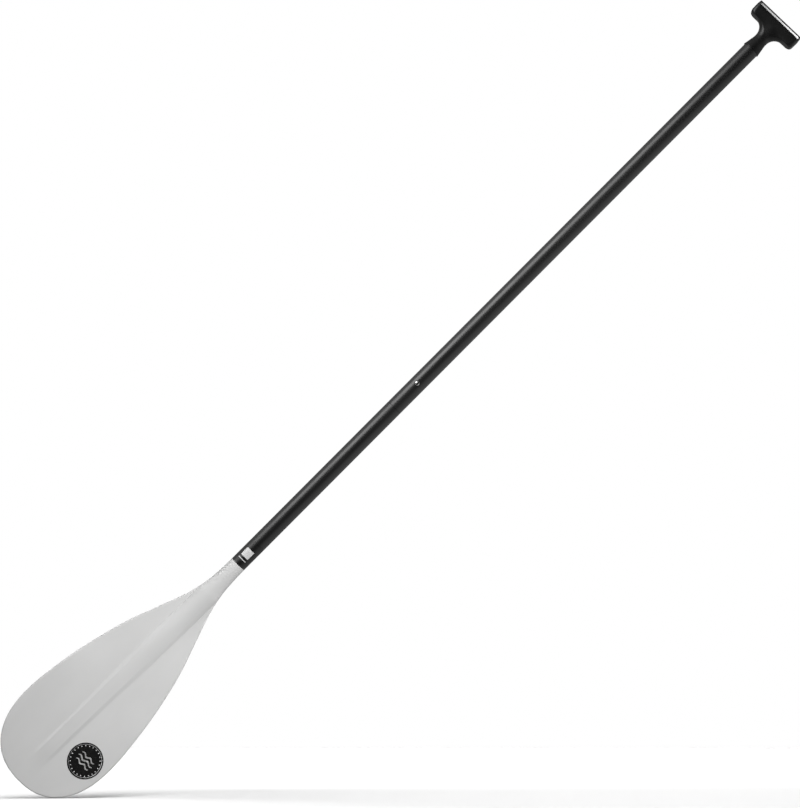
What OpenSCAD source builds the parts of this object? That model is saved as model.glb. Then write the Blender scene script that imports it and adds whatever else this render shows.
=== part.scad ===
// Two-piece stand-up paddle with a snap-button shaft and a T-grip.
// Frame: +Z runs up the shaft to the grip, the ribbed face of the blade and the button look along -Y,
// and the origin is on the shaft's axis at the seam between the two halves. Millimetres.

/* [Shaft] */
// Outside diameter of both tubes
shaft_d = 28.6; // [27:0.1:32]
// Wall of both tubes
tube_wall = 1.5; // [1.2:0.1:1.8]
// Visible length of the lower tube, from the blade to the seam
lower_len = 371; // [300:1:600]
// Visible length of the upper tube, from the seam to the grip
upper_len = 848; // [500:1:1100]

/* [Joint between the halves] */
// Length of the sleeve on each side of the seam
ferrule_reach = 100; // [80:1:140]
// Radial clearance between the sleeve and the upper tube
ferrule_gap = 0.06; // [0.02:0.01:0.10]
// Height of the button above the seam
button_z = 56; // [50:1:70]
// Diameter of the button
button_d = 8; // [6:0.1:9]
// How far the button's dome stands out of the shaft
button_proud = 2.4; // [1.5:0.1:3]

/* [Blade] */
// Length of the blade below the shaft, measured along the shaft
blade_len = 500; // [400:1:560]
// Greatest width of the blade
blade_w = 193; // [160:1:240]
// Angle between the blade and the shaft
blade_rake = 10; // [0:0.5:14]
// Thickness of the blade beside its rib
blade_t = 4.4; // [3:0.1:6]
// Diameter of the round badge
badge_d = 60; // [40:1:64]

/* [Grip] */
// Width of the T
grip_w = 93; // [80:1:120]
// Height of the grip above the upper tube
grip_h = 72; // [66:1:90]
// Height of the bar at the top of the T
bar_h = 27; // [24:0.5:32]
// Front-to-back depth of the bar
bar_d = 30; // [24:0.5:36]

/* [Hidden] */
$fn = 96;

shaft_r = shaft_d / 2;
bore_r = shaft_r - tube_wall;

// Joint
ferrule_r = bore_r - ferrule_gap;
ferrule_in_r = bore_r - 1.7;
groove_h = 1.2;
groove_depth = 0.4;
seam_chamfer = 0.6;
lead_in = 1.5;
hole_clearance = 0.1;
hole_r = button_d / 2 + hole_clearance;

// Button and its leaf spring
dome_h = 1.5;
button_top = shaft_r + button_proud;
leaf_w = 7;
leaf_t = 0.8;
leaf_gap = 0.05;
leaf_y = sqrt(pow(ferrule_in_r, 2) - pow(leaf_w / 2, 2)) - leaf_gap;
leaf_end = 8;
leaf_bend_z = 14;
leaf_bend_r = 2.4;
rivet_r = 1.5;
rivet_head_r = 2.5;
rivet_head_h = 0.7;
rivet_gap = 0.05;

// Foam plugs
plug_len = 60;
plug_clear = 40;

// Blade: shape along its length, each point as [share of the length, share of the growth from
// the neck's radius to the full half width]; the tip beyond the last point is a superellipse
blade_growth = [
    [0, 0], [0.05, 0.007], [0.11, 0.038], [0.18, 0.13], [0.28, 0.346],
    [0.40, 0.609], [0.54, 0.823], [0.66, 0.944], [0.77, 1]
];
widest = blade_growth[len(blade_growth) - 1][0];
tip_power = 2.3;
// Height of the rib above the ribbed face and of the spine on the smooth face, as shares of the radius
rib_rise = [[0, 1], [0.14, 0.78], [0.35, 0.42], [0.60, 0.21], [0.84, 0.13], [0.94, 0]];
spine_rise = [[0, 1], [0.10, 0.66], [0.22, 0.30], [0.40, 0.08], [0.56, 0]];
// Half width of the rib, as shares of the neck's radius
rib_width = [[0, 1.45], [0.35, 1.32], [0.94, 1.12]];
bend_start = 0.04;
bend_end = 0.36;
// Power of the rib's arch at the neck, how much it grows by, and the place where it has grown
neck_arch = 0.5;
arch_growth = 0.35;
arch_end = 0.25;
// The rib turns from round to flat-topped between these places; then this share of its half width slopes
flat_start = 0.35;
flat_end = 0.75;
flat_side = 0.42;
// Each side of the lower blade is turned forwards by fold_angle, from this distance beside the axis on;
// the turn grows between these places
fold_angle = 3;
fold_from = shaft_r * rib_width[len(rib_width) - 1][1];
fold_start = 0.48;
fold_end = 0.66;
// Share by which the smooth half of the plate thins towards its edge
back_thinning = 0.35;
edge_share = 0.93;
full_plate = 0.14;
spigot_len = 70;
spigot_groove = 3;
ring_inner = 5;
ring_steps = 26;
tip_steps = 11;

// Badge and label
badge_t = 0.5;
badge_x = 56.5;
badge_at = 0.803;
label_t = 0.2;
label_h = 46;
label_gap = 3;
label_sweep = 150;

// Grip
collar_r = shaft_r + 1.3;
collar_h = 1.5;
neck_r = 12.1;
neck_z = 20.5;
web_r = 21;
web_d = 20;
bar_low_r = 6;
bar_top_r = 3;
bar_bevel = 3.9;
bar_lip = 2.3;
bar_crown = 1.7;
crown_steps = 5;
// Corners of the grip's side outline: out from the web and below the bar, then in from the bar and up it
flare_out = 1;
flare_below = 4;
heel_in = 2;
heel_above = 5;
stem_taper = 0.4;
stem_in = 6;
grip_plug = 40;
plug_chamfer = 1;

// Smooth curve through points of rising x, level at both ends
function piece(p, x, i = 0) = i >= len(p) - 2 || x < p[i + 1][0] ? i : piece(p, x, i + 1);
function slope(p, i) =
    i == 0 || i == len(p) - 1 ? 0 : (p[i + 1][1] - p[i - 1][1]) / (p[i + 1][0] - p[i - 1][0]);
function curve(p, x) =
    let(
        i = piece(p, x),
        h = p[i + 1][0] - p[i][0],
        t = min(1, max(0, (x - p[i][0]) / h))
    )
    p[i][1] * (1 + 2 * t) * pow(1 - t, 2) + p[i + 1][1] * t * t * (3 - 2 * t)
        + h * slope(p, i) * t * pow(1 - t, 2) - h * slope(p, i + 1) * t * t * (1 - t);

// Half width of the blade at a share u of its length
function half_w(u) =
    u <= widest
        ? shaft_r + (blade_w / 2 - shaft_r) * curve(blade_growth, u)
        : blade_w / 2 * pow(max(0, 1 - pow((u - widest) / (1 - widest), tip_power)), 1 / tip_power);

// How far the blade's middle surface has swung towards -Y
function swing(u) =
    let(k = tan(blade_rake) * blade_len, s = bend_start, e = bend_end)
    u < s ? 0 : u < e ? k * pow(u - s, 2) / (2 * (e - s)) : k * ((e - s) / 2 + u - e);

// Half thickness of the plate, before its edge is rounded
function plate(u) = blade_t / 2 * min(1, u / full_plate);
function rounded(v) =
    abs(v) <= edge_share ? 1 : sqrt(max(0, 1 - pow((abs(v) - edge_share) / (1 - edge_share), 2)));

// Crown across the rib: a half circle at the neck, a shallower arch, and at last a flat top with
// S-shaped sides
function eased(t) = let(c = min(1, max(0, t))) c * c * (3 - 2 * c);
function crown(q, u) =
    let(
        arch = neck_arch + arch_growth * eased(u / arch_end),
        flat = eased((u - flat_start) / (flat_end - flat_start)),
        r = min(1, abs(q))
    )
    (1 - flat) * pow(1 - r * r, arch) + flat * eased((1 - r) / flat_side);

function rib_half(u) = min(half_w(u), shaft_r * curve(rib_width, u));
function fold(v, u) =
    tan(fold_angle) * eased((u - fold_start) / (fold_end - fold_start))
        * max(0, abs(v) * half_w(u) - fold_from);
function middle_y(v, u) = -swing(u) - fold(v, u);
function ribbed_y(v, u) =
    middle_y(v, u) - plate(u) * rounded(v)
        - shaft_r * curve(rib_rise, u) * crown(v * half_w(u) / rib_half(u), u);
function smooth_y(v, u) =
    middle_y(v, u) + plate(u) * rounded(v) * (1 - back_thinning * v * v)
        + shaft_r * curve(spine_rise, u) * crown(v * half_w(u) / rib_half(u), u);

// Places across the blade, from the axis to the edge: close together on the rib and at the edge
function across(u) =
    let(k = min(0.9, rib_half(u) / half_w(u)))
    concat(
        [for (i = [0:ring_inner]) k * sin(90 * i / ring_inner)],
        [k + (edge_share - k) * 0.5 + 0.001, max(edge_share, k + 0.02), 0.965, 0.99, 1]
    );
function ring(u) =
    let(a = across(u), n = len(a), w = half_w(u), z = -lower_len - blade_len * u)
    concat(
        [for (i = [n - 1:-1:0]) [-a[i] * w, ribbed_y(a[i], u), z]],
        [for (i = [1:n - 1]) [a[i] * w, ribbed_y(a[i], u), z]],
        [for (i = [n - 2:-1:0]) [a[i] * w, smooth_y(a[i], u), z]],
        [for (i = [1:n - 2]) [-a[i] * w, smooth_y(a[i], u), z]]
    );

// Closed solid over equal rings of points
module skin(rings) {
    n = len(rings[0]);
    m = len(rings);
    points = [for (r = rings) each r];
    sides = [
        for (j = [0:m - 2], i = [0:n - 1])
            [j * n + i, j * n + (i + 1) % n, (j + 1) * n + (i + 1) % n, (j + 1) * n + i]
    ];
    first = [[for (i = [n - 1:-1:0]) i]];
    last = [[for (i = [0:n - 1]) (m - 1) * n + i]];
    polyhedron(points, concat(sides, first, last), convexity = 6);
}

module tube(r_out, r_in, z0, z1) {
    translate([0, 0, z0])
        difference() {
            cylinder(r = r_out, h = z1 - z0);
            translate([0, 0, -1])
                cylinder(r = r_in, h = z1 - z0 + 2);
        }
}

// Hole for the button through the front wall
module button_hole() {
    translate([0, 0, button_z])
        rotate([90, 0, 0])
            cylinder(r = hole_r, h = shaft_r + 5);
}

module blade() {
    along = concat(
        [for (i = [0:ring_steps]) widest * i / ring_steps],
        [for (i = [1:tip_steps]) widest + (1 - widest) * sin(88 * i / tip_steps)]
    );
    color("gainsboro") {
        skin([for (u = along) ring(u)]);
        translate([0, 0, -lower_len - 1])
            difference() {
                cylinder(r = bore_r, h = spigot_len + 1);
                for (a = [45:90:315])
                    rotate(a)
                        translate([bore_r - spigot_groove, -spigot_groove / 2, 6])
                            cube([spigot_groove + 1, spigot_groove, spigot_len]);
            }
    }
}

module blade_badge() {
    z = -lower_len - blade_len * badge_at;
    y = middle_y(badge_x / half_w(badge_at), badge_at) - plate(badge_at);
    lean = atan(tan(blade_rake) * cos(fold_angle));
    color("black")
        translate([badge_x, y, z])
            rotate([90 - lean, 0, -fold_angle])
                cylinder(r = badge_d / 2, h = badge_t);
}

module lower_shaft() {
    color("dimgray")
        tube(shaft_r, bore_r, -lower_len, 0);
}

module shaft_label() {
    color("black")
        translate([0, 0, -lower_len + label_gap])
            rotate(-90 - label_sweep / 2)
                rotate_extrude(angle = label_sweep)
                    translate([shaft_r, 0])
                        square([label_t, label_h]);
}

module lower_foam_plug() {
    color("silver")
        translate([0, 0, -ferrule_reach - plug_clear - plug_len])
            cylinder(r = bore_r, h = plug_len);
}

module ferrule() {
    profile = [
        [ferrule_in_r, -ferrule_reach],
        [bore_r, -ferrule_reach],
        [bore_r, -groove_h],
        [bore_r - groove_depth, -groove_h],
        [bore_r - groove_depth, 0],
        [ferrule_r, 0],
        [ferrule_r, ferrule_reach - lead_in],
        [ferrule_r - lead_in / 2, ferrule_reach],
        [ferrule_in_r, ferrule_reach]
    ];
    color("silver")
        difference() {
            rotate_extrude()
                polygon(profile);
            button_hole();
        }
}

// Strip bent to a V, drawn in the plane of its bend
module leaf_profile() {
    top = button_z + leaf_end;
    knee = button_z - leaf_end;
    inner = leaf_bend_r - leaf_t;
    bend = leaf_bend_z + leaf_bend_r;
    polygon(concat(
        [[-leaf_y, top], [-leaf_y, knee]],
        [for (a = [180:15:360]) [leaf_bend_r * cos(a), bend + leaf_bend_r * sin(a)]],
        [[leaf_y, knee], [leaf_y, top], [leaf_y - leaf_t, top], [leaf_y - leaf_t, knee]],
        [for (a = [360:-15:180]) [inner * cos(a), bend + inner * sin(a)]],
        [[-leaf_y + leaf_t, knee], [-leaf_y + leaf_t, top]]
    ));
}

module button_spring() {
    color("lightsteelblue")
        difference() {
            rotate([90, 0, 90])
                translate([0, 0, -leaf_w / 2])
                    linear_extrude(leaf_w)
                        leaf_profile();
            translate([0, 0, button_z])
                rotate([90, 0, 0])
                    cylinder(r = rivet_r + rivet_gap, h = shaft_r);
        }
}

// Round button with a domed head, riveted through the leaf
module snap_button() {
    dome_r = (pow(button_d / 2, 2) + pow(dome_h, 2)) / (2 * dome_h);
    head_z = leaf_y - leaf_t - rivet_gap - rivet_head_h;
    color("gainsboro")
        translate([0, 0, button_z])
            rotate([90, 0, 0]) {
                intersection() {
                    translate([0, 0, leaf_y])
                        cylinder(d = button_d, h = button_top - leaf_y);
                    translate([0, 0, button_top - dome_r])
                        sphere(r = dome_r);
                }
                translate([0, 0, head_z])
                    cylinder(r = rivet_r, h = leaf_y - head_z + 0.5);
                translate([0, 0, head_z])
                    cylinder(r = rivet_head_r, h = rivet_head_h);
            }
}

module upper_shaft() {
    profile = [
        [bore_r, 0],
        [shaft_r - seam_chamfer, 0],
        [shaft_r, seam_chamfer],
        [shaft_r, upper_len],
        [bore_r, upper_len]
    ];
    color("dimgray")
        difference() {
            rotate_extrude()
                polygon(profile);
            button_hole();
        }
}

module upper_foam_plug() {
    color("silver")
        translate([0, 0, ferrule_reach + plug_clear])
            cylinder(r = bore_r, h = plug_len);
}

// Front outline of the bar and of the web that flares into it, from the neck up
module grip_front() {
    under = grip_h - bar_h;
    difference() {
        translate([-neck_r - web_r, neck_z])
            square([2 * (neck_r + web_r), under - neck_z + bar_low_r]);
        for (side = [-1, 1])
            translate([side * (neck_r + web_r), under - web_r])
                circle(r = web_r);
        for (side = [-1, 1])
            translate([side * (neck_r + web_r) - web_r, neck_z - 1])
                square([2 * web_r, under - web_r - neck_z + 1]);
    }
    for (side = [-1, 1]) {
        translate([side * (grip_w / 2 - bar_low_r), under + bar_low_r])
            circle(r = bar_low_r);
        translate([side * (grip_w / 2 - bar_top_r), grip_h - bar_top_r])
            circle(r = bar_top_r);
        translate([side * (grip_w / 2 - bar_low_r) - bar_low_r, under + bar_low_r])
            square([2 * bar_low_r, bar_h - bar_low_r - bar_top_r]);
    }
    translate([-grip_w / 2 + bar_low_r, under])
        square([grip_w - 2 * bar_low_r, bar_h]);
}

// Side outline of the same: it deepens up to a shoulder, then a bevel and a lip lead to a crowned top
module grip_side() {
    under = grip_h - bar_h;
    shoulder = grip_h - bar_crown - bar_lip - bar_bevel;
    crown_half = bar_d / 2 - bar_bevel;
    front = [
        [web_d / 2, neck_z],
        [web_d / 2 + flare_out, under - flare_below],
        [bar_d / 2 - heel_in, under + heel_above],
        [bar_d / 2, shoulder],
        [crown_half, shoulder + bar_bevel]
    ];
    polygon(concat(
        front,
        [for (i = [crown_steps:-1:-crown_steps])
            [crown_half * i / crown_steps, grip_h - bar_crown * pow(i / crown_steps, 2)]],
        [for (i = [len(front) - 1:-1:0]) [-front[i][0], front[i][1]]]
    ));
}

module grip() {
    stem = [
        [0, -grip_plug],
        [bore_r - plug_chamfer, -grip_plug],
        [bore_r, -grip_plug + plug_chamfer],
        [bore_r, 0],
        [collar_r, 0],
        [collar_r, collar_h],
        [neck_r, neck_z],
        [neck_r - stem_taper, grip_h - bar_h + stem_in],
        [0, grip_h - bar_h + stem_in]
    ];
    color("black")
        translate([0, 0, upper_len]) {
            rotate_extrude()
                polygon(stem);
            intersection() {
                rotate([90, 0, 0])
                    translate([0, 0, -bar_d])
                        linear_extrude(2 * bar_d)
                            grip_front();
                rotate([90, 0, 90])
                    translate([0, 0, -grip_w])
                        linear_extrude(2 * grip_w)
                            grip_side();
            }
        }
}

blade();
blade_badge();
lower_shaft();
shaft_label();
lower_foam_plug();
ferrule();
button_spring();
snap_button();
upper_shaft();
upper_foam_plug();
grip();
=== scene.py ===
"""Looks of the two-piece stand-up paddle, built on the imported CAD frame. Lengths are in metres."""
import math

import bmesh
import bpy
from mathutils import Matrix, Vector


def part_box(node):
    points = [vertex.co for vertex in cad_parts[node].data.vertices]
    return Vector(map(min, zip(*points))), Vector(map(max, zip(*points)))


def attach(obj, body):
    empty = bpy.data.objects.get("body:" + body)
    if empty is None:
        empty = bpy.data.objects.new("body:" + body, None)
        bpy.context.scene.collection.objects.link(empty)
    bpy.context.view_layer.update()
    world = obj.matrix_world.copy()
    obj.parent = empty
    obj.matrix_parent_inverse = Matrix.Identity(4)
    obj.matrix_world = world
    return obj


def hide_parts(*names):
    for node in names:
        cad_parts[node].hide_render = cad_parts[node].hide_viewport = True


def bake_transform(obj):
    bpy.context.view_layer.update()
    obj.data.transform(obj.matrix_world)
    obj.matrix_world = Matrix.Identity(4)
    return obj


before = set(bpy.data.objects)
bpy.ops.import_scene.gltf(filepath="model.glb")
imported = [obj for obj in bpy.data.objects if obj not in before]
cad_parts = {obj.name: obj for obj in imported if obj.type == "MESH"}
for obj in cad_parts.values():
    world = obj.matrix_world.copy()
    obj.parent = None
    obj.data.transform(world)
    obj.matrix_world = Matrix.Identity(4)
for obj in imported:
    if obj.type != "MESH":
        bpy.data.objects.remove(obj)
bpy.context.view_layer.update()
MM = 0.001
# Gap that keeps a plug's wall off the bore it fills
SLACK = 0.02 * MM

# Places and sizes read from the CAD frame
SHAFT_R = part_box("lower_shaft")[1].x
BORE_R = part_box("lower_foam_plug")[1].x
NECK_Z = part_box("lower_shaft")[0].z
SEAM_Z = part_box("lower_shaft")[1].z
LIP_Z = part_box("upper_shaft")[1].z
BLADE_LEN = NECK_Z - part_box("blade")[0].z
BLADE_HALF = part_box("blade")[1].x
PLUG_TOP_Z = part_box("blade")[1].z
BUTTON_Z = (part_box("snap_button")[0].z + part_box("snap_button")[1].z) / 2
BUTTON_TOP = -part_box("snap_button")[0].y
SLEEVE_LOW, SLEEVE_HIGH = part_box("ferrule")[0].z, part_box("ferrule")[1].z
SPRING_LOW, SPRING_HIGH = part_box("button_spring")[0].z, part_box("button_spring")[1].z
LABEL_LOW, LABEL_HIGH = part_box("shaft_label")[0].z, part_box("shaft_label")[1].z
BADGE_X = (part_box("blade_badge")[0].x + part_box("blade_badge")[1].x) / 2


# ---------------------------------------------------------------- camera

YAW = math.radians(5.5)
ROLL = math.radians(45.08)
DISTANCE = 3.5
FRAME_HEIGHT = 1.357
AIM_Z = 11.1 * MM
AIM_ASIDE = 2.65 * MM

UP_Z = Vector((0, 0, 1))
aside = Vector((math.cos(YAW), math.sin(YAW), 0))
ahead = Vector((-math.sin(YAW), math.cos(YAW), 0))
image_right = math.cos(ROLL) * UP_Z + math.sin(ROLL) * aside
image_up = math.sin(ROLL) * UP_Z - math.cos(ROLL) * aside
aim = AIM_Z * UP_Z + AIM_ASIDE * aside


def turned(x_axis, y_axis, z_axis, place):
    """Matrix with these three axes, at a place."""
    matrix = Matrix((x_axis, y_axis, z_axis)).transposed().to_4x4()
    matrix.translation = place
    return matrix


def make_camera():
    data = bpy.data.cameras.new("camera")
    data.lens = data.sensor_width * DISTANCE / FRAME_HEIGHT
    camera = bpy.data.objects.new("camera", data)
    bpy.context.scene.collection.objects.link(camera)
    camera.matrix_world = turned(image_right, image_up, -ahead, aim - DISTANCE * ahead)
    bpy.context.scene.camera = camera


# ---------------------------------------------------------------- curves and meshes

def mix(a, b, t):
    return a + (b - a) * t


def eased(a, b, x):
    """0 up to a, 1 from b, and smooth between them."""
    t = min(1.0, max(0.0, (x - a) / (b - a)))
    return t * t * (3 - 2 * t)


def curve(points, x):
    """Smooth curve through points of rising x, level at both ends."""
    i = 0
    while i < len(points) - 2 and x >= points[i + 1][0]:
        i += 1

    def slope(k):
        if k in (0, len(points) - 1):
            return 0.0
        return (points[k + 1][1] - points[k - 1][1]) / (points[k + 1][0] - points[k - 1][0])

    h = points[i + 1][0] - points[i][0]
    t = min(1.0, max(0.0, (x - points[i][0]) / h))
    return (
        points[i][1] * (1 + 2 * t) * (1 - t) ** 2
        + points[i + 1][1] * t * t * (3 - 2 * t)
        + h * slope(i) * t * (1 - t) ** 2
        - h * slope(i + 1) * t * t * (1 - t)
    )


def arc(centre, r, start, end, steps=5):
    """Points on a circle from one angle to another, in degrees."""
    angles = [math.radians(mix(start, end, i / steps)) for i in range(steps + 1)]
    return [(centre[0] + r * math.cos(a), centre[1] + r * math.sin(a)) for a in angles]


def piece_from(name, points, faces, sharp_deg=35, flats=True):
    """New smooth object from points and faces; edges that turn by more than sharp_deg stay crisp, and with
    flats the shading leaves flat faces flat."""
    mesh = bpy.data.meshes.new(name)
    mesh.from_pydata([tuple(p) for p in points], [], faces)
    bm = bmesh.new()
    bm.from_mesh(mesh)
    bmesh.ops.remove_doubles(bm, verts=bm.verts, dist=2e-6)
    bmesh.ops.dissolve_degenerate(bm, edges=bm.edges, dist=2e-6)
    bmesh.ops.recalc_face_normals(bm, faces=bm.faces)
    bm.to_mesh(mesh)
    bm.free()
    mesh.shade_smooth()
    mesh.set_sharp_from_angle(angle=math.radians(sharp_deg))
    piece = bpy.data.objects.new(name, mesh)
    bpy.context.scene.collection.objects.link(piece)
    if flats:
        piece.modifiers.new("even_normals", "WEIGHTED_NORMAL").keep_sharp = True
    return piece


def loft(name, rings, sharp_deg=35, flats=True):
    """Closed skin over equal rings of points."""
    n, m = len(rings[0]), len(rings)
    faces = [
        (j * n + i, j * n + (i + 1) % n, (j + 1) * n + (i + 1) % n, (j + 1) * n + i)
        for j in range(m - 1)
        for i in range(n)
    ]
    faces.append(tuple(range(n - 1, -1, -1)))
    faces.append(tuple((m - 1) * n + i for i in range(n)))
    return piece_from(name, [p for ring in rings for p in ring], faces, sharp_deg, flats)


SIDES = 128


def turned_points(profile):
    """Points of a (radius, z) profile turned about the shaft's axis, one column after another from -Y."""
    columns = [2 * math.pi * i / SIDES for i in range(SIDES)]
    return [(r * math.sin(a), -r * math.cos(a), z) for a in columns for r, z in profile]


def turned_piece(name, profile, place=None, sharp_deg=35):
    """Closed body turned from (radius, z) points that start and end on the axis, or close on themselves."""
    n = len(profile)
    closed = profile[0][0] > 0
    faces = [
        (i * n + j, (i + 1) % SIDES * n + j, (i + 1) % SIDES * n + (j + 1) % n, i * n + (j + 1) % n)
        for i in range(SIDES)
        for j in range(n if closed else n - 1)
    ]
    points = turned_points(profile)
    if place:
        points = [place(p) for p in points]
    return piece_from(name, points, faces, sharp_deg)


def dress(piece, body, slot, look, *nodes):
    """Gives a piece its body and material, and hides the CAD nodes that it stands for. Its slot is not used.
    """
    piece.data.materials.append(look)
    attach(piece, body)
    if nodes:
        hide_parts(*nodes)
    return piece


# ---------------------------------------------------------------- materials

def add(tree, kind, inputs=(), **settings):
    """New node with its settings, and inputs as (socket, value or output to link)."""
    node = tree.nodes.new(kind)
    for key, value in settings.items():
        setattr(node, key, value)
    for socket, value in inputs:
        if isinstance(value, bpy.types.NodeSocket):
            tree.links.new(value, node.inputs[socket])
        else:
            node.inputs[socket].default_value = value
    return node


def grain(tree, size, stretch=(1, 1, 1), detail=3.0):
    """Noise whose cells measure about size, longer along an axis where stretch is over 1."""
    where = add(tree, "ShaderNodeTexCoord")
    scale = tuple(1 / (size * s) for s in stretch)
    mapped = add(tree, "ShaderNodeMapping", [("Vector", where.outputs["Object"]), ("Scale", scale)])
    settings = [("Vector", mapped.outputs[0]), ("Scale", 1.0), ("Detail", detail)]
    noise = add(tree, "ShaderNodeTexNoise", settings)
    return noise.outputs["Fac"]


def between(tree, value, low, high, start=0.35, end=0.65):
    """The value's range from start to end, spread over low to high."""
    node = add(tree, "ShaderNodeMapRange", [("Value", value), ("From Min", start), ("From Max", end)])
    node.inputs["To Min"].default_value = low
    node.inputs["To Max"].default_value = high
    return node.outputs["Result"]


def shade(tree, value, dark, light):
    """Grey or colour that goes from dark to light with the value."""
    node = add(tree, "ShaderNodeMix", [("Factor", value)], data_type="RGBA")
    node.inputs[6].default_value = colour(dark)
    node.inputs[7].default_value = colour(light)
    return node.outputs[2]


def colour(value):
    return (value, value, value, 1) if isinstance(value, float) else (*value, 1)


def relief(tree, layers):
    """Bump from (height value, height in metres) layers."""
    normal = None
    for value, height in layers:
        bump = add(tree, "ShaderNodeBump", [("Height", value), ("Distance", height), ("Strength", 1.0)])
        if normal:
            tree.links.new(normal, bump.inputs["Normal"])
        normal = bump.outputs["Normal"]
    return normal


def new_look(name, metallic=0.0, ior=1.5):
    look = bpy.data.materials.new(name)
    look.use_nodes = True
    shader = look.node_tree.nodes["Principled BSDF"]
    shader.inputs["Metallic"].default_value = metallic
    shader.inputs["IOR"].default_value = ior
    return look, look.node_tree, shader


def finish_look(tree, shader, base, roughness, normal=None):
    tree.links.new(base, shader.inputs["Base Color"])
    tree.links.new(roughness, shader.inputs["Roughness"])
    if normal:
        tree.links.new(normal, shader.inputs["Normal"])


def moulded_grey():
    """Light grey polypropylene: faint flow clouds, a satin skin and a very fine moulded grain."""
    look, tree, shader = new_look("moulded_grey")
    clouds = between(tree, grain(tree, 55 * MM, (1, 1, 2.2)), 0.0, 1.0)
    skin = grain(tree, 2.2 * MM, detail=5.0)
    finish_look(
        tree,
        shader,
        shade(tree, clouds, (0.545, 0.545, 0.542), (0.570, 0.570, 0.567)),
        between(tree, skin, 0.58, 0.66),
        relief(tree, [(skin, 0.002 * MM), (grain(tree, 14 * MM), 0.015 * MM)]),
    )
    shader.inputs["Specular IOR Level"].default_value = 0.35
    return look


def anodised_black():
    """Black anodised drawn tube: fine lines along it, a soft sheen and a few faint rub marks."""
    look, tree, shader = new_look("anodised_black")
    lines = grain(tree, 0.5 * MM, (1, 1, 120), detail=2.0)
    clouds = grain(tree, 30 * MM, (1, 1, 3))
    rubs = between(tree, grain(tree, 3 * MM, (1, 1, 14), detail=6.0), 0.0, 1.0, 0.62, 0.80)
    finish_look(
        tree,
        shader,
        shade(tree, rubs, 0.007, 0.014),
        between(tree, clouds, 0.33, 0.41),
        relief(tree, [(lines, 0.003 * MM)]),
    )
    return look


def moulded_black():
    """Glass-filled nylon grip: black, with a fine spark-eroded grain and a semi-gloss skin."""
    look, tree, shader = new_look("moulded_black")
    skin = grain(tree, 1.1 * MM, detail=4.0)
    wear = between(tree, grain(tree, 16 * MM), 0.0, 1.0)
    finish_look(
        tree,
        shader,
        shade(tree, wear, 0.006, 0.010),
        between(tree, skin, 0.32, 0.40),
        relief(tree, [(skin, 0.006 * MM)]),
    )
    shader.inputs["Specular IOR Level"].default_value = 0.3
    return look


def vinyl_black(name, rough_low, rough_high):
    """Black printed vinyl with a smooth, slightly uneven film over it."""
    look, tree, shader = new_look(name)
    film = grain(tree, 6 * MM)
    finish_look(
        tree,
        shader,
        shade(tree, film, 0.003, 0.005),
        between(tree, film, rough_low, rough_high),
        relief(tree, [(film, 0.01 * MM)]),
    )
    return look


def printed_ink(name, dark, light):
    """Pale print on the vinyl, a little thin in places."""
    look, tree, shader = new_look(name)
    ink = between(tree, grain(tree, 1.6 * MM, detail=4.0), 0.0, 1.0)
    finish_look(tree, shader, shade(tree, ink, dark, light), between(tree, ink, 0.36, 0.44))
    return look


def metal(name, dark, light, rough_low, rough_high, stretch, size=0.6 * MM):
    """Bare metal with a drawn or brushed lay along the longest stretch."""
    look, tree, shader = new_look(name, metallic=1.0)
    lay = grain(tree, size, stretch, detail=3.0)
    stain = between(tree, grain(tree, 18 * MM), 0.0, 1.0)
    finish_look(
        tree,
        shader,
        shade(tree, stain, dark, light),
        between(tree, lay, rough_low, rough_high),
        relief(tree, [(lay, 0.004 * MM)]),
    )
    return look


def cell_foam():
    """Closed-cell foam with small open cells on its cut faces."""
    look, tree, shader = new_look("cell_foam")
    where = add(tree, "ShaderNodeTexCoord")
    cells = add(tree, "ShaderNodeTexVoronoi", [("Vector", where.outputs["Object"]), ("Scale", 900.0)])
    depth = between(tree, cells.outputs["Distance"], 1.0, 0.0, 0.0, 0.6)
    # The same value also sets the colour, darker where the relief sinks: painted shade in the hollows between
    # the raised cells.
    finish_look(
        tree,
        shader,
        shade(tree, depth, (0.36, 0.36, 0.34), (0.55, 0.55, 0.52)),
        between(tree, depth, 0.95, 0.8),
        relief(tree, [(depth, 0.12 * MM)]),
    )
    return look


# ---------------------------------------------------------------- blade

# Share of the growth from the neck to the full half width, at shares of the blade's length
BLADE_GROWTH = [
    (0, 0), (0.05, 0.007), (0.11, 0.038), (0.18, 0.13), (0.28, 0.346),
    (0.40, 0.609), (0.54, 0.823), (0.66, 0.944), (0.77, 1),
]
WIDEST = BLADE_GROWTH[-1][0]
TIP_POWER = 2.3
# Rise of the rib and of the back's spine, and half width of the rib, as shares of the shaft's radius
RIB_RISE = [(0, 1), (0.14, 0.78), (0.35, 0.42), (0.60, 0.21), (0.84, 0.13), (0.94, 0)]
SPINE_RISE = [(0, 1), (0.10, 0.66), (0.22, 0.30), (0.40, 0.08), (0.56, 0)]
RIB_WIDTH = [(0, 1.45), (0.35, 1.32), (0.94, 1.12)]
NECK_ARCH, ARCH_GROWTH, ARCH_END = 0.5, 0.35, 0.25
FLAT_START, FLAT_END, FLAT_SIDE = 0.35, 0.75, 0.42
FOLD = math.radians(3)
FOLD_FROM = SHAFT_R * RIB_WIDTH[-1][1]
FOLD_START, FOLD_END = 0.48, 0.66
BEND_START, BEND_END = 0.04, 0.36
RAKE = math.radians(10)
PLATE_T = 4.4 * MM
FULL_PLATE = 0.14
EDGE_R = 2.6 * MM
# Share by which the smooth half of the plate thins towards its edge
BACK_THINNING = 0.35
BADGE_AT = 0.803
BADGE_T = 0.5 * MM
BADGE_R = 30 * MM


def half_width(u):
    if u <= WIDEST:
        return SHAFT_R + (BLADE_HALF - SHAFT_R) * curve(BLADE_GROWTH, u)
    return BLADE_HALF * max(0.0, 1 - ((u - WIDEST) / (1 - WIDEST)) ** TIP_POWER) ** (1 / TIP_POWER)


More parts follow.
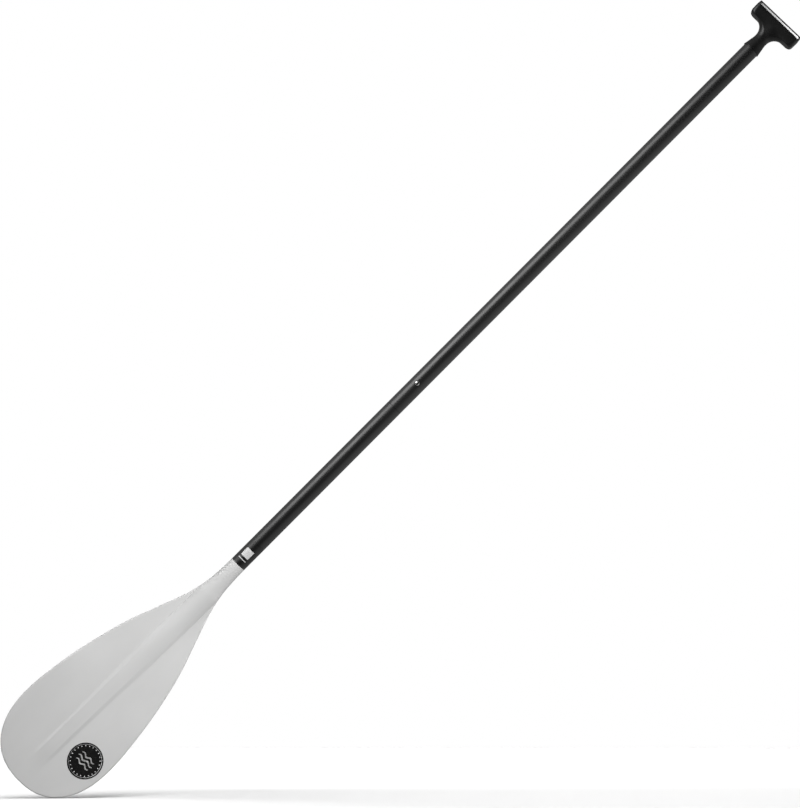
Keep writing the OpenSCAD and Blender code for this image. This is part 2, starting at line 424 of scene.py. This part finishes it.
def swing(u):
    """How far the blade's middle surface has swung forwards."""
    k = math.tan(RAKE) * BLADE_LEN
    if u < BEND_START:
        return 0.0
    if u < BEND_END:
        return k * (u - BEND_START) ** 2 / (2 * (BEND_END - BEND_START))
    return k * ((BEND_END - BEND_START) / 2 + u - BEND_END)


def plate(v, u):
    """Half thickness of the plate at a share v of the half width, rounded over towards the outline."""
    step = 0.002
    steep = (half_width(min(1.0, u + step)) - half_width(u - step)) / (2 * step * BLADE_LEN)
    inside = (1 - abs(v)) * half_width(u) / math.hypot(1, steep)
    d = min(1.0, inside / EDGE_R)
    return PLATE_T / 2 * min(1.0, u / FULL_PLATE) * math.sqrt(max(0.0, 1 - (1 - d) ** 2))


def crown(q, u):
    """Height across the rib: a half circle at the neck, then an arch, and at last a flat top with S-shaped
    sides."""
    q = min(1.0, abs(q))
    arch = NECK_ARCH + ARCH_GROWTH * eased(0, ARCH_END, u)
    return mix((1 - q * q) ** arch, eased(0, FLAT_SIDE, 1 - q), eased(FLAT_START, FLAT_END, u))


def rib_half(u):
    return min(half_width(u), SHAFT_R * curve(RIB_WIDTH, u))


def across_rib(v, u):
    w = half_width(u)
    return crown(v * w / rib_half(u), u) if w > 0 else 0.0


def middle_y(v, u):
    """Middle surface: it swings forwards, and each side of the lower blade folds forwards beside the rib."""
    beside = max(0.0, abs(v) * half_width(u) - FOLD_FROM)
    return -swing(u) - math.tan(FOLD) * eased(FOLD_START, FOLD_END, u) * beside


def ribbed_y(v, u):
    return middle_y(v, u) - plate(v, u) - SHAFT_R * curve(RIB_RISE, u) * across_rib(v, u)


def smooth_y(v, u):
    spine = SHAFT_R * curve(SPINE_RISE, u) * across_rib(v, u)
    return middle_y(v, u) + plate(v, u) * (1 - BACK_THINNING * v * v) + spine


def across(u, on_rib=26, beside=30):
    """Shares of the half width from the axis to the edge, close together on the rib and at the edge."""
    w = half_width(u)
    k = min(0.85, rib_half(u) / w) if w > 0 else 0.85
    return [k * i / on_rib for i in range(on_rib)] + [
        k + (1 - k) * math.sin(math.pi / 2 * i / beside) for i in range(beside + 1)
    ]


def blade_ring(u):
    a, w, z = across(u), half_width(u), NECK_Z - BLADE_LEN * u
    ring = [(-v * w, ribbed_y(v, u), z) for v in reversed(a)]
    ring += [(v * w, ribbed_y(v, u), z) for v in a[1:]]
    ring += [(v * w, smooth_y(v, u), z) for v in reversed(a[:-1])]
    return ring + [(-v * w, smooth_y(v, u), z) for v in a[1:-1]]


def make_blade(look):
    rows, tip_rows = 130, 60
    along = [WIDEST * i / rows for i in range(rows + 1)]
    along += [mix(WIDEST, 1, math.sin(math.pi / 2 * i / tip_rows)) for i in range(1, tip_rows + 1)]
    blade = loft("blade_shell", [blade_ring(u) for u in along], sharp_deg=60, flats=False)
    return dress(blade, "lower_half", "blade_plastic", look, "blade")


def make_blade_plug(look):
    """Plug that holds the blade in the lower tube, with four lengthwise glue grooves."""
    groove, top_chamfer, overlap = 3 * MM, 1 * MM, 0.5 * MM

    def outline(r):
        points = []
        for k in range(4):
            middle = math.radians(45 + 90 * k)
            reach = math.asin(groove / 2 / r)
            floor = r - groove
            start, end = middle - reach, middle + reach
            for a, corner_r in ((start, r), (start, floor), (end, floor), (end, r)):
                points.append((corner_r * math.cos(a), corner_r * math.sin(a)))
            for i in range(1, 20):
                a = mix(end, middle + math.pi / 2 - reach, i / 20)
                points.append((r * math.cos(a), r * math.sin(a)))
        return points

    def ring(r, z):
        return [(x, y, z) for x, y in outline(r)]

    r = BORE_R - SLACK
    rings = [ring(r, NECK_Z - overlap), ring(r, PLUG_TOP_Z - top_chamfer), ring(r - top_chamfer, PLUG_TOP_Z)]
    return dress(loft("blade_plug", rings), "lower_half", "blade_plastic", look)


# ---------------------------------------------------------------- thin prints: badge and label

def printed(name, outlines, thickness, place, slices=()):
    """Thin sheet over flat outlines, cut at each x in slices so that it can follow a curved wall."""
    bm = bmesh.new()
    for outline in outlines:
        bm.faces.new([bm.verts.new((x, y, 0)) for x, y in outline])
    for x in slices:
        everything = list(bm.verts) + list(bm.edges) + list(bm.faces)
        bmesh.ops.bisect_plane(bm, geom=everything, plane_co=(x, 0, 0), plane_no=(1, 0, 0))
    flat = bmesh.ops.extrude_face_region(bm, geom=list(bm.faces))["geom"]
    for v in flat:
        if isinstance(v, bmesh.types.BMVert):
            v.co.z = thickness
    bm.verts.index_update()
    points = [place(v.co) for v in bm.verts]
    faces = [tuple(v.index for v in f.verts) for f in bm.faces]
    bm.free()
    return piece_from(name, points, faces)


def band(r_in, r_out, start, end, steps=1):
    """Outlines of a flat arc band from angle start to end, in degrees, in steps."""
    outlines = []
    for i in range(steps):
        a, b = (math.radians(mix(start, end, (i + k) / steps)) for k in (0, 1))
        outlines.append([
            (r * math.cos(t), r * math.sin(t)) for r, t in ((r_in, a), (r_out, a), (r_out, b), (r_in, b))
        ])
    return outlines


def on_badge(p, lift=0.0):
    """From the badge's own x, y and height to the frame: it lies on the flat part of the ribbed face."""
    y = middle_y(BADGE_X / half_width(BADGE_AT), BADGE_AT) - PLATE_T / 2
    lean = math.atan(math.tan(RAKE) * math.cos(FOLD))
    tilt = Matrix.Rotation(-FOLD, 3, "Z") @ Matrix.Rotation(math.radians(90) - lean, 3, "X")
    return Vector((BADGE_X, y, NECK_Z - BLADE_LEN * BADGE_AT)) + tilt @ Vector((p[0], p[1], p[2] + lift))


def make_badge(vinyl, white):
    """Black disc with a thin ring, ticks all round it and three plain waves printed on it."""
    edge, ink = 0.25 * MM, 0.04 * MM
    profile = [(0, 0), (BADGE_R, 0), (BADGE_R, BADGE_T - edge)]
    profile += arc((BADGE_R - edge, BADGE_T - edge), edge, 0, 90, 4) + [(0, BADGE_T)]
    disc = turned_piece("badge_disc", profile, lambda p: on_badge((p[0], p[1], p[2])))
    dress(disc, "lower_half", "sticker", vinyl, "blade_badge")

    def on_disc(p):
        return on_badge(p, BADGE_T)

    ring = printed("badge_ring", band(0.905 * BADGE_R, 0.925 * BADGE_R, 0, 360, 120), ink, on_disc)
    dress(ring, "lower_half", "sticker", white)
    ticks = []
    for a in range(0, 360, 15):
        ticks += band(0.80 * BADGE_R, 0.85 * BADGE_R, a - 1.5, a + 1.5)
    dress(printed("badge_ticks", ticks, ink, on_disc), "lower_half", "sticker", white)
    waves = []
    steps, swell, weight = 60, 1.8 * MM, 1.5 * MM
    for height, reach in ((7 * MM, 14 * MM), (0, 16 * MM), (-7 * MM, 14 * MM)):
        for i in range(steps):
            corners = []
            for k, side in ((0, -1), (1, -1), (1, 1), (0, 1)):
                s = (i + k) / steps
                half = weight * math.sin(math.pi * mix(0.04, 0.96, s)) ** 0.5
                y = height + swell * math.sin(4 * math.pi * s) + side * half
                corners.append((mix(-reach, reach, s), y))
            waves.append(corners)
    dress(printed("badge_waves", waves, ink, on_disc), "lower_half", "sticker", white)


def rounded_outline(x0, x1, y0, y1, r):
    """Rectangle with rounded corners."""
    corners = ((x1 - r, y1 - r, 0), (x0 + r, y1 - r, 90), (x0 + r, y0 + r, 180), (x1 - r, y0 + r, 270))
    return [p for x, y, start in corners for p in arc((x, y), r, start, start + 90, 8)]


def make_label(vinyl, silver):
    """Black label round the front of the lower tube, with a plain square and a bar printed on it."""
    thick, ink = 0.2 * MM, 0.04 * MM

    def on_tube(p, lift=0.0):
        r = SHAFT_R + lift + p[2]
        return Vector((r * math.sin(p[0] / SHAFT_R), -r * math.cos(p[0] / SHAFT_R), p[1]))

    half = math.radians(75) * SHAFT_R
    slices = [half * i / 24 for i in range(-23, 24)]
    outline = rounded_outline(-half, half, LABEL_LOW, LABEL_HIGH, 7 * MM)
    sheet = printed("label_sheet", [outline], thick, on_tube, slices)
    dress(sheet, "lower_half", "sticker", vinyl, "shaft_label")

    def on_label(p):
        return on_tube(p, thick)

    panel = rounded_outline(-8 * MM, 8 * MM, LABEL_LOW + 14 * MM, LABEL_LOW + 30 * MM, 1.5 * MM)
    dress(printed("label_panel", [panel], ink, on_label, slices), "lower_half", "sticker", silver)
    bar = rounded_outline(-8 * MM, 8 * MM, LABEL_LOW + 8 * MM, LABEL_LOW + 9.4 * MM, 0.5 * MM)
    dress(printed("label_bar", [bar], ink, on_label, slices), "lower_half", "sticker", silver)


# ---------------------------------------------------------------- tubes and sleeve

HOLE_R = 4.1 * MM
HOLE_CELLS = 8
SLEEVE_IN_R = BORE_R - 1.7 * MM


def pierced_tube(name, outer, inner, edge):
    """Tube from the (radius, z) points of its outer wall, going up, and of its inner wall, going down, with
    the button's round hole through its front. A square patch round the hole is stitched ring by ring, so that
    every point lies on the wall."""
    step = 2 * math.pi / SIDES
    cell = SHAFT_R * step
    rows = [BUTTON_Z + cell * k for k in range(-HOLE_CELLS, HOLE_CELLS + 1)]

    def with_rows(wall, going_up):
        order = rows if going_up else rows[::-1]
        for i in range(len(wall) - 1):
            low, high = sorted((wall[i][1], wall[i + 1][1]))
            if low < rows[0] and high > rows[-1]:
                return wall[: i + 1] + [(wall[i][0], z) for z in order] + wall[i + 1 :], i + 1

    outer, first_out = with_rows(outer, True)
    inner, first_in = with_rows(inner, False)
    profile = outer + inner
    first_in += len(outer)
    n = len(profile)
    points = turned_points(profile)
    span = 2 * HOLE_CELLS
    gone = {
        (c % SIDES, first + k)
        for first in (first_out, first_in)
        for c in range(-HOLE_CELLS, HOLE_CELLS)
        for k in range(span)
    }
    faces = [
        (i * n + j, (i + 1) % SIDES * n + j, (i + 1) % SIDES * n + (j + 1) % n, i * n + (j + 1) % n)
        for i in range(SIDES)
        for j in range(n)
        if (i, j) not in gone
    ]

    def corner(c, k):
        """Place in the points list of a patch corner: column c, row k, on the outer and on the inner wall."""
        return c % SIDES * n + first_out + k, c % SIDES * n + first_in + span - k

    side = range(span)
    loop = [corner(c - HOLE_CELLS, 0) for c in side] + [corner(HOLE_CELLS, k) for k in side]
    loop += [corner(HOLE_CELLS - c, span) for c in side] + [corner(-HOLE_CELLS, span - k) for k in side]
    count = len(loop)
    turn = [math.radians(225 + 360 * k / count) for k in range(count)]

    def ring(r, hole, blend, start, depth=0.0):
        """Ring of points between the patch's square and the hole's circle, on the wall of radius r."""
        made = []
        for k in range(count):
            x0, y0, z0 = points[start[k]]
            a0 = math.atan2(x0, -y0)
            a1 = math.asin(hole * math.cos(turn[k]) / r)
            a, z = mix(a0, a1, blend), mix(z0, BUTTON_Z + hole * math.sin(turn[k]), blend)
            made.append(len(points))
            points.append((r * math.sin(a), -r * math.cos(a) + depth, z))
        return made

    def stitch(a, b):
        faces.extend((a[k], a[(k + 1) % count], b[(k + 1) % count], b[k]) for k in range(count))

    out_loop, in_loop = [p[0] for p in loop], [p[1] for p in loop]
    out_r, in_r = profile[first_out][0], profile[first_in][0]
    rings = [out_loop] + [ring(out_r, HOLE_R + edge, t, out_loop) for t in (0.3, 0.65, 1.0)]
    for t in (30, 60, 90):
        a = math.radians(t)
        rings.append(ring(out_r, HOLE_R + edge * (1 - math.sin(a)), 1.0, out_loop, edge * (1 - math.cos(a))))
    rings += [ring(in_r, HOLE_R, t, in_loop) for t in (1.0, 0.65, 0.3)] + [in_loop]
    for a, b in zip(rings, rings[1:]):
        stitch(a, b)
    return piece_from(name, points, faces)


def make_tubes(look):
    soft = 0.25 * MM
    profile = [(BORE_R, NECK_Z)]
    profile += arc((SHAFT_R - soft, NECK_Z + soft), soft, 270, 360, 4)
    profile += [(SHAFT_R, mix(NECK_Z, SEAM_Z, k / 8)) for k in range(1, 8)]
    profile += arc((SHAFT_R - soft, SEAM_Z - soft), soft, 0, 90, 4)
    profile += [(BORE_R, SEAM_Z)]
    dress(turned_piece("lower_tube", profile), "lower_half", "shaft_black", look, "lower_shaft")
    foot = 0.6 * MM
    outer = [(SHAFT_R - foot, SEAM_Z)] + arc((SHAFT_R - foot, SEAM_Z + foot), foot, 290, 360, 4)
    outer += [(SHAFT_R, LIP_Z - soft), (SHAFT_R - soft, LIP_Z)]
    inner = [(BORE_R, LIP_Z), (BORE_R, SEAM_Z)]
    tube = pierced_tube("upper_tube", outer, inner, 0.25 * MM)
    dress(tube, "grip_half", "shaft_black", look, "upper_shaft")


def make_sleeve(look):
    """Sleeve glued in the lower tube; its free half guides the upper tube."""
    gap, lead, groove, groove_depth = 0.06 * MM, 1.5 * MM, 1.2 * MM, 0.4 * MM
    r = BORE_R - gap
    bonded = BORE_R - 0.01 * MM
    outer = [
        (bonded, SLEEVE_LOW),
        (bonded, SEAM_Z - groove),
        (BORE_R - groove_depth, SEAM_Z - groove),
        (BORE_R - groove_depth, SEAM_Z),
        (r, SEAM_Z),
        (r, SLEEVE_HIGH - lead),
        (r - lead / 2, SLEEVE_HIGH),
    ]
    inner = [(SLEEVE_IN_R, SLEEVE_HIGH), (SLEEVE_IN_R, SLEEVE_LOW)]
    sleeve = pierced_tube("ferrule_sleeve", outer, inner, 0.2 * MM)
    dress(sleeve, "lower_half", "ferrule_aluminium", look, "ferrule")


def make_foam(look):
    for name, node, body in (
        ("lower_foam", "lower_foam_plug", "lower_half"),
        ("upper_foam", "upper_foam_plug", "grip_half"),
    ):
        low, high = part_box(node)[0].z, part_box(node)[1].z
        soft, r = 1.2 * MM, BORE_R - SLACK
        profile = [(0, low)] + arc((r - soft, low + soft), soft, 270, 360, 4)
        profile += arc((r - soft, high - soft), soft, 0, 90, 4) + [(0, high)]
        dress(turned_piece(name, profile), body, "foam", look, node)


# ---------------------------------------------------------------- button and its leaf spring

LEAF_W = 7 * MM
LEAF_T = 0.8 * MM
RIVET_R = 1.5 * MM
RIVET_GAP = 0.05 * MM
LEAF_GAP = 0.05 * MM
LEAF_OUT = math.sqrt(SLEEVE_IN_R ** 2 - (LEAF_W / 2) ** 2) - LEAF_GAP


def make_button(look):
    """Steel button with an oval dome, and the rivet that holds it to the leaf."""
    r, dome = 4 * MM, 2.0 * MM
    soft = 0.3 * MM
    head_r, head_h = 2.5 * MM, 0.7 * MM
    head = LEAF_OUT - LEAF_T - RIVET_GAP - head_h
    profile = [(0, head)] + arc((head_r - soft, head + soft), soft, 270, 360, 4)
    profile += [(head_r, head + head_h), (RIVET_R, head + head_h), (RIVET_R, LEAF_OUT)]
    profile += arc((r - soft, LEAF_OUT + soft), soft, 270, 360, 4)
    for i in range(25):
        a = math.radians(90 * i / 24)
        profile.append((r * math.cos(a), BUTTON_TOP - dome + dome * math.sin(a)))
    button = turned_piece("button_body", profile, lambda p: Vector((p[0], -p[2], BUTTON_Z + p[1])))
    dress(button, "snap_button", "button_steel", look, "snap_button")


def make_leaf(look):
    """V-shaped strip: its front leg carries the button and its back leg rests on the sleeve."""
    mid = LEAF_OUT - LEAF_T / 2
    knee = 2 * BUTTON_Z - SPRING_HIGH
    bend_r = 2.0 * MM
    bend_z = SPRING_LOW + LEAF_T / 2 + bend_r
    path = [(-mid, SPRING_HIGH), (-mid, mix(SPRING_HIGH, knee, 0.5)), (-mid, knee + 1.5 * MM), (-mid, knee)]
    path += [(mix(-mid, -bend_r, i / 14), mix(knee, bend_z, i / 14)) for i in range(1, 14)]
    path += arc((0, bend_z), bend_r, 180, 360, 16)
    path += [(-y, z) for y, z in reversed(path[:17])]
    soft = 0.15 * MM
    section = rounded_outline(-LEAF_W / 2, LEAF_W / 2, -LEAF_T / 2, LEAF_T / 2, soft)
    rings = []
    for i, (y, z) in enumerate(path):
        before, after = path[max(0, i - 1)], path[min(len(path) - 1, i + 1)]
        along = Vector((0, after[0] - before[0], after[1] - before[1])).normalized()
        out = along.cross(Vector((1, 0, 0)))
        rings.append([Vector((x, y, z)) + t * out for x, t in section])
    leaf = loft("leaf_spring", rings)
    pierce(leaf, RIVET_R + RIVET_GAP, BUTTON_Z, -LEAF_OUT - 2 * MM, -LEAF_OUT + LEAF_T + 2 * MM)
    leaf.data.materials.append(look)
    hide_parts("button_spring")
    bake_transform(leaf)


def pierce(piece, r, z, y0, y1):
    """Cuts a round hole along Y through a piece."""
    profile = [(0, 0), (r, 0), (r, y1 - y0), (0, y1 - y0)]
    cutter = turned_piece("cutter", profile, lambda p: Vector((p[0], y0 + p[2], z + p[1])))
    cut = piece.modifiers.new("cut", "BOOLEAN")
    cut.operation, cut.object, cut.solver = "DIFFERENCE", cutter, "EXACT"
    while piece.modifiers[0] != cut:
        piece.modifiers.move(len(piece.modifiers) - 1, 0)
    even = piece.modifiers[1]
    even.show_viewport = False
    bpy.context.view_layer.update()
    made = bpy.data.meshes.new_from_object(piece.evaluated_get(bpy.context.evaluated_depsgraph_get()))
    even.show_viewport = True
    piece.modifiers.remove(cut)
    piece.data = made
    made.set_sharp_from_angle(angle=math.radians(35))
    bpy.data.objects.remove(cutter)


# ---------------------------------------------------------------- grip

GRIP_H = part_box("grip")[1].z - LIP_Z
BAR_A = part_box("grip")[1].x
BAR_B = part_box("grip")[1].y
BAR_H = 27 * MM
COLLAR_R = SHAFT_R + 1.3 * MM
NECK_R = 12.1 * MM
TAPER_END = 20.5 * MM
WEB_R = 21 * MM
LOW_R = 6 * MM
BEVEL = 3.9 * MM
LIP_H = 2.3 * MM
CROWN_H = 1.7 * MM
UNDER = GRIP_H - BAR_H
RING_POINTS = 256
# Half depth of the grip, corner radius seen from above, and rise of the neck's ridge on its two faces,
# against the height above the collar, all in millimetres
DEPTH = [
    (0, 15.6), (1.5, 15.6), (20.5, 12.1), (34, 10.9), (44, 11.4), (51, 13.4), (58, 14.7), (63, 15), (72, 15),
]
CORNER = [(0, 15.6), (20.5, 11.9), (35, 10.7), (46, 8.6), (56, 6.4), (63, 6), (72, 6)]
RIDGE = [(0, 0), (24, 0), (38, 1.1), (46, 0.6), (56, 0), (72, 0)]
RIDGE_W = 8 * MM
END_INSET = 0.15


def section(a, b, r):
    """Rounded rectangle of half sizes a and b as evenly spaced points, the same number in each quarter."""
    r = min(r, a, b)
    quarter = RING_POINTS // 4
    straight, bend = b - r, math.pi / 2 * r
    total = straight + bend + a - r
    points = []
    for i in range(quarter):
        d = total * i / quarter
        if d < straight:
            points.append((a, d))
        elif d < straight + bend:
            t = (d - straight) / r
            points.append((a - r + r * math.cos(t), b - r + r * math.sin(t)))
        else:
            points.append((a - r - (d - straight - bend), b))
    top = points + [(0.0, b)]
    half = top + [(-x, y) for x, y in reversed(points)]
    return half[:-1] + [(-x, -y) for x, y in half[:-1]]


def grip_ring(a, middle, end, inset=0.0):
    """Ring of the grip: its height is middle at the centre and end at the two ends of the bar. It is set in
    by inset at the front and back, and by less at the ends."""
    b = curve(DEPTH, middle / MM) * MM
    r = curve(CORNER, middle / MM) * MM
    ridge = curve(RIDGE, middle / MM) * MM
    if middle <= TAPER_END:
        b = r = a
    ring = []
    for x, y in section(a - END_INSET * inset, b - inset, max(r - inset, 0.5 * MM)):
        share = eased(0.35, 1.0, abs(x) / a)
        lift = ridge * math.exp(-((x / RIDGE_W) ** 2)) * (y / (b - inset)) ** 3
        ring.append((x, y + lift, LIP_Z + mix(middle, end, share)))
    return ring


def make_grip(look):
    soft = 0.4 * MM
    plug = 40 * MM
    chamfer = 1 * MM
    bore = BORE_R - SLACK
    rings = [[(x, y, LIP_Z + z) for x, y in section(r, r, r)] for r, z in (
        (bore - chamfer, -plug),
        (bore, -plug + chamfer),
        (bore, 0),
        (COLLAR_R - soft, 0),
    )]
    lower_edge = arc((COLLAR_R - soft, soft), soft, 300, 360, 3)
    upper_edge = arc((COLLAR_R - soft, 1.2 * MM), soft, 10, 80, 4)
    for r, z in lower_edge + upper_edge:
        rings.append(grip_ring(r, z, z))
    for i in range(1, 13):
        z = mix(1.9 * MM, TAPER_END, i / 12)
        rings.append(grip_ring(mix(COLLAR_R - 0.4 * MM, NECK_R, i / 12), z, z))
    for i in range(21):
        t = math.radians(90 * i / 20)
        z = UNDER - WEB_R + WEB_R * math.sin(t)
        rings.append(grip_ring(NECK_R + WEB_R * (1 - math.cos(t)), z, z))
    corner = BAR_A - LOW_R
    web_a = NECK_R + WEB_R
    low, high = UNDER, UNDER + 9 * MM
    for i in range(1, 6):
        rings.append(grip_ring(mix(web_a, corner, i / 5), mix(low, high, i / 14), UNDER))
    for i in range(1, 9):
        t = math.radians(90 * i / 8)
        z = UNDER + LOW_R * (1 - math.cos(t))
        rings.append(grip_ring(corner + LOW_R * math.sin(t), mix(low, high, (5 + i) / 14), z))
    shoulder = GRIP_H - BEVEL - LIP_H - CROWN_H
    for i in range(1, 9):
        middle = mix(mix(low, high, 13 / 14), shoulder, i / 8)
        end = mix(UNDER + LOW_R, shoulder, i / 8)
        rings.append(grip_ring(BAR_A, middle, end))
    ease, lip_lean = 0.2 * MM, 0.3 * MM
    for inset, rise in ((ease, ease), (BEVEL - ease, BEVEL - ease), (BEVEL, BEVEL + ease)):
        rings.append(grip_ring(BAR_A, shoulder + rise, shoulder + rise, inset))
    for i in range(1, 17):
        share = 1 - 0.95 * i / 16
        z = GRIP_H - CROWN_H * share * share
        rings.append(grip_ring(BAR_A, z, z, BAR_B - (BAR_B - BEVEL - lip_lean) * share))
    grip = loft("grip_body", rings, sharp_deg=30)
    dress(grip, "grip_half", "grip_plastic", look, "grip")


# ---------------------------------------------------------------- floor, light and background

def make_floor(lowest_piece):
    """Pale floor across the image's upright direction, just under the blade's lowest point."""
    places = [lowest_piece.matrix_world @ v.co for v in lowest_piece.data.vertices]
    lowest = min(places, key=lambda p: p.dot(image_up))
    clear, shift = 0.5 * MM, 0.35
    centre = lowest - clear * image_up + shift * image_right
    long, deep, cells = 1.1, 0.5, 8
    corners = [
        centre + mix(-long, long, i / cells) * image_right + mix(-deep, deep, j / cells) * ahead
        for j in range(cells + 1)
        for i in range(cells + 1)
    ]
    n = cells + 1
    faces = [
        (j * n + i, j * n + i + 1, (j + 1) * n + i + 1, (j + 1) * n + i)
        for j in range(cells)
        for i in range(cells)
    ]
    mesh = bpy.data.meshes.new("floor")
    mesh.from_pydata(corners, [], faces)
    floor = bpy.data.objects.new("floor", mesh)
    bpy.context.scene.collection.objects.link(floor)
    look, tree, shader = new_look("pale_floor")
    base = shade(tree, grain(tree, 200 * MM), 0.67, 0.69)
    finish_look(tree, shader, base, between(tree, grain(tree, 90 * MM), 0.85, 0.95))
    shader.inputs["Specular IOR Level"].default_value = 0.1
    facing = add(tree, "ShaderNodeNewGeometry")
    clear_back = add(tree, "ShaderNodeBsdfTransparent")
    sides = [(0, facing.outputs["Backfacing"]), (1, shader.outputs[0]), (2, clear_back.outputs[0])]
    both = add(tree, "ShaderNodeMixShader", sides)
    tree.links.new(both.outputs[0], tree.nodes["Material Output"].inputs["Surface"])
    mesh.materials.append(look)
    floor.visible_glossy = False
    floor.visible_diffuse = False
    return floor


def softbox(name, direction, distance, width, height, power, across_axis, target):
    """Rectangular lamp in a direction from the target, facing it, with its width along across_axis."""
    data = bpy.data.lights.new(name, "AREA")
    data.shape, data.size, data.size_y, data.energy = "RECTANGLE", width, height, power
    lamp = bpy.data.objects.new(name, data)
    bpy.context.scene.collection.objects.link(lamp)
    back = direction.normalized()
    x = (across_axis - across_axis.dot(back) * back).normalized()
    lamp.matrix_world = turned(x, back.cross(x), back, target + distance * back)
    return lamp


def round_shaft(degrees, rise=0.0):
    """Level direction this far round the shaft from the camera towards +X, tilted up by rise."""
    turn = math.radians(degrees)
    return math.cos(turn) * -ahead + math.sin(turn) * aside + rise * UP_Z


def lights_only(lamp, piece, rule="INCLUDE"):
    """The lamp lights this piece alone, or with EXCLUDE all but this piece."""
    group = bpy.data.collections.new(lamp.name + "_rule")
    group.objects.link(piece)
    group.collection_objects[0].light_linking.link_state = rule
    lamp.light_linking.receiver_collection = group


def make_lights(floor):
    """Key and tip lights that show as reflections, soft lamps that only light, and the floor's own lamp."""
    key = softbox("key", round_shaft(-57), 2.2, 1.7, 1.5, 48, UP_Z, Vector((0, 0, 0.32)))
    bar = Vector((0, 0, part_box("grip")[1].z))
    tip = softbox("tip_light", Vector((0.12, 0.22, 0.97)), 1.3, 0.5, 0.35, 34, aside, bar)
    for lamp in (key, tip):
        lamp.visible_diffuse = False
    front = softbox("front", round_shaft(0, 1.15), 1.7, 0.8, 0.8, 12, UP_Z, Vector((0, 0, -0.4)))
    left = softbox("left", round_shaft(-70), 2.2, 1.5, 1.5, 12, UP_Z, Vector((0, 0, -0.3)))
    front.data.spread = math.radians(100)
    for lamp in (front, left):
        lamp.visible_glossy = False
        lights_only(lamp, floor, "EXCLUDE")
    overhead = image_up + 0.13 * ahead
    top = softbox("top", overhead, 2.4, 2.4, 0.7, 132, image_right, aim)
    lights_only(top, floor)


def make_background():
    """White behind the object. What it reflects is a bright band round the shaft, open towards the camera."""
    world = bpy.data.worlds.new("studio")
    bpy.context.scene.world = world
    world.use_nodes = True
    tree = world.node_tree
    tree.nodes.clear()
    where = add(tree, "ShaderNodeTexCoord").outputs["Generated"]
    kind = "ShaderNodeVectorMath"
    level_way = add(tree, kind, [(0, where), (1, (1, 1, 0))], operation="MULTIPLY").outputs[0]
    heading = add(tree, kind, [(0, level_way)], operation="NORMALIZE").outputs[0]
    dark = round_shaft(2)
    towards = add(tree, kind, [(0, heading), (1, dark)], operation="DOT_PRODUCT").outputs["Value"]
    height = add(tree, "ShaderNodeSeparateXYZ", [(0, where)]).outputs["Z"]
    front = between(tree, towards, 1.0, 0.02, math.cos(math.radians(52)), math.cos(math.radians(14)))
    back = between(tree, towards, 0.45, 1.0, math.cos(math.radians(150)), math.cos(math.radians(105)))
    low = between(tree, height, 0.42, 1.0, -0.16, 0.04)
    high = between(tree, height, 1.0, 0.3, 0.12, 0.32)
    room = front
    for share in (back, low, high):
        room = add(tree, "ShaderNodeMath", [(0, room), (1, share)], operation="MULTIPLY").outputs[0]
    lit = add(tree, "ShaderNodeBackground", [("Strength", room)])
    seen = add(tree, "ShaderNodeBackground", [("Strength", 1.0)])
    lit.inputs["Color"].default_value = (1.12, 1.12, 1.12, 1)
    seen.inputs["Color"].default_value = (1, 1, 1, 1)
    path = add(tree, "ShaderNodeLightPath")
    choice = [(0, path.outputs["Is Camera Ray"]), (1, lit.outputs[0]), (2, seen.outputs[0])]
    both = add(tree, "ShaderNodeMixShader", choice)
    add(tree, "ShaderNodeOutputWorld", [("Surface", both.outputs[0])])
    bpy.context.scene.view_settings.view_transform = "Standard"


# ---------------------------------------------------------------- the paddle

make_camera()
grey_plastic = moulded_grey()
blade = make_blade(grey_plastic)
make_blade_plug(grey_plastic)
make_badge(vinyl_black("badge_vinyl", 0.22, 0.30), printed_ink("printed_white", 0.80, 0.88))
make_label(vinyl_black("label_vinyl", 0.38, 0.46), printed_ink("printed_silver", 0.48, 0.58))
make_tubes(anodised_black())
make_sleeve(metal("drawn_aluminium", 0.55, 0.66, 0.30, 0.42, (1, 1, 60)))
make_foam(cell_foam())
make_button(metal("button_steel", 0.50, 0.62, 0.16, 0.24, (1, 1, 1), 1.5 * MM))
make_leaf(metal("spring_steel", 0.32, 0.42, 0.28, 0.40, (1, 1, 40)))
make_grip(moulded_black())
make_lights(make_floor(blade))
make_background()
